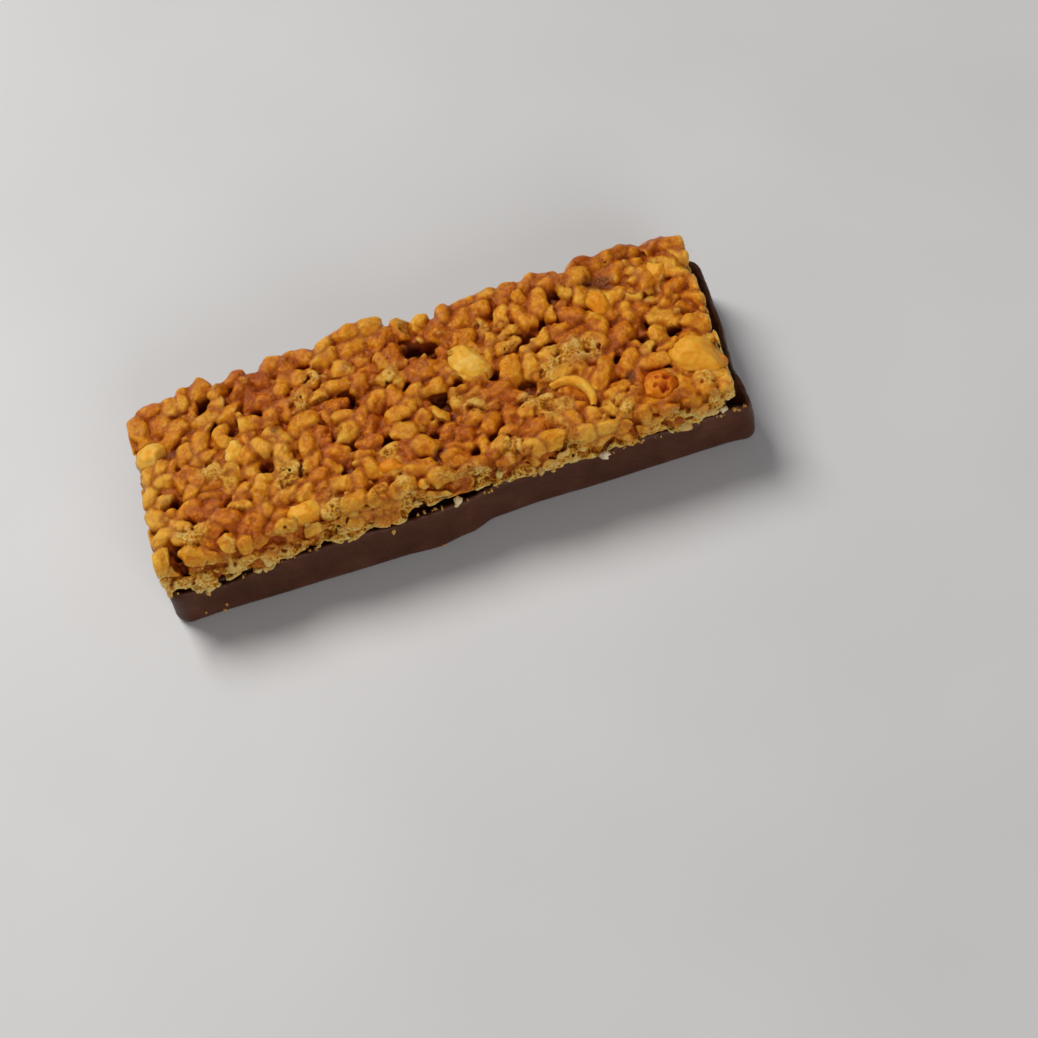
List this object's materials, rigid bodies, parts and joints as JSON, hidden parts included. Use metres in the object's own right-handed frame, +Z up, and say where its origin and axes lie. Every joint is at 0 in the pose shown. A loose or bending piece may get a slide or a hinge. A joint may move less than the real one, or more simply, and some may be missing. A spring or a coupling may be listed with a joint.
{
  "type": "peanut bar",
  "caption": "Oblong snack bar of puffed rice grains and peanut pieces stuck with syrup, on a dark chocolate base.",
  "frame": {"origin": "middle of the flat underside of the chocolate base", "axes": "+X along the bar to its right-hand end, -Y is the long cut side that faces the viewer, +Z up from the underside to the rolled top"},
  "size_m": [0.1021, 0.0369, 0.0175],
  "materials": {
    "crisp_rice": "golden brown puffed rice glazed with syrup, softly glossy, paler and porous where cut",
    "peanut": "roasted peanut, smooth and golden, with a thin glaze",
    "chocolate": "dark chocolate, semi-gloss with faint waves"
  },
  "bodies": {
    "root": {"chocolate_base": "chocolate", "crisp_rice_slab": "crisp_rice", "peanut_half_right": "peanut", "peanut_broken_right": "peanut", "peanut_chunk_middle": "peanut", "peanut_chunk_left": "peanut", "peanut_chunk_front": "peanut", "peanut_bit_left": "peanut", "peanut_bit_centre": "peanut", "peanut_bit_back": "peanut", "peanut_bit_far": "peanut"}
  },
  "joints": []
}
